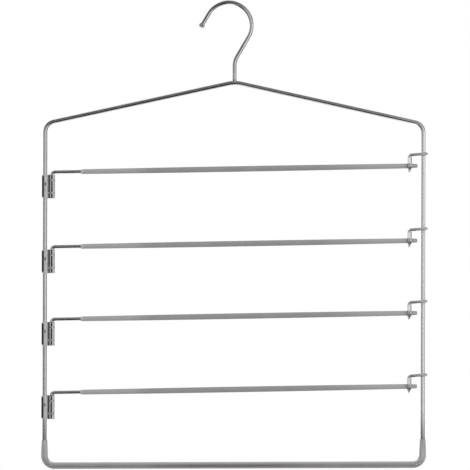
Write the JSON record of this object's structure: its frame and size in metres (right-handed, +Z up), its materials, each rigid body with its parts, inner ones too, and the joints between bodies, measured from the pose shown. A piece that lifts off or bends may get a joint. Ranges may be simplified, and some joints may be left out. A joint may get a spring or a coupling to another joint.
{
  "type": "trouser hanger",
  "caption": "Chromed wire trouser hanger: a fixed hook, a sloping-shouldered frame, sleeved swing arms on hinge clips with latches, and a sleeved bottom bar.",
  "frame": {"origin": "the hook's seat: the highest point of the hook's inner side, where the rod bears", "axes": "+Z up, along the hanger's height; +X towards the latches; the front, with the latch stems, faces -Y"},
  "size_m": [0.3702, 0.0078, 0.4503],
  "materials": {
    "frame_chrome": "polished",
    "hook_chrome": "polished",
    "cap_chrome": "polished",
    "arm_chrome": "polished",
    "latch_chrome": "polished",
    "clip_plate": "satin",
    "arm_sleeve": "matte",
    "bar_sleeve": "matte"
  },
  "bodies": {
    "hanger": {"frame_wire": "frame_chrome", "hook_wire": "hook_chrome", "hook_tip_cap": "cap_chrome", "bottom_sleeve": "bar_sleeve", "hinge_clip_1": "clip_plate", "hinge_clip_2": "clip_plate", "hinge_clip_3": "clip_plate", "hinge_clip_4": "clip_plate", "latch_hook_1": "latch_chrome", "latch_hook_2": "latch_chrome", "latch_hook_3": "latch_chrome", "latch_hook_4": "latch_chrome"},
    "arm_1": {"arm_wire_1": "arm_chrome", "arm_sleeve_1": "arm_sleeve"},
    "arm_2": {"arm_wire_2": "arm_chrome", "arm_sleeve_2": "arm_sleeve"},
    "arm_3": {"arm_wire_3": "arm_chrome", "arm_sleeve_3": "arm_sleeve"},
    "arm_4": {"arm_wire_4": "arm_chrome", "arm_sleeve_4": "arm_sleeve"}
  },
  "joints": [
    {"name": "arm_1_swing", "type": "hinge", "parent": "hanger", "child": "arm_1", "pos_m": [-0.16901, 0.00057, -0.16152], "axis": [0, 0, 1], "range_deg": [0, 150]},
    {"name": "arm_2_swing", "type": "hinge", "parent": "hanger", "child": "arm_2", "pos_m": [-0.16901, 0.00057, -0.23331], "axis": [0, 0, 1], "range_deg": [0, 150]},
    {"name": "arm_3_swing", "type": "hinge", "parent": "hanger", "child": "arm_3", "pos_m": [-0.16901, 0.00057, -0.30287], "axis": [0, 0, 1], "range_deg": [0, 150]},
    {"name": "arm_4_swing", "type": "hinge", "parent": "hanger", "child": "arm_4", "pos_m": [-0.16901, 0.00057, -0.37328], "axis": [0, 0, 1], "range_deg": [0, 150]}
  ]
}
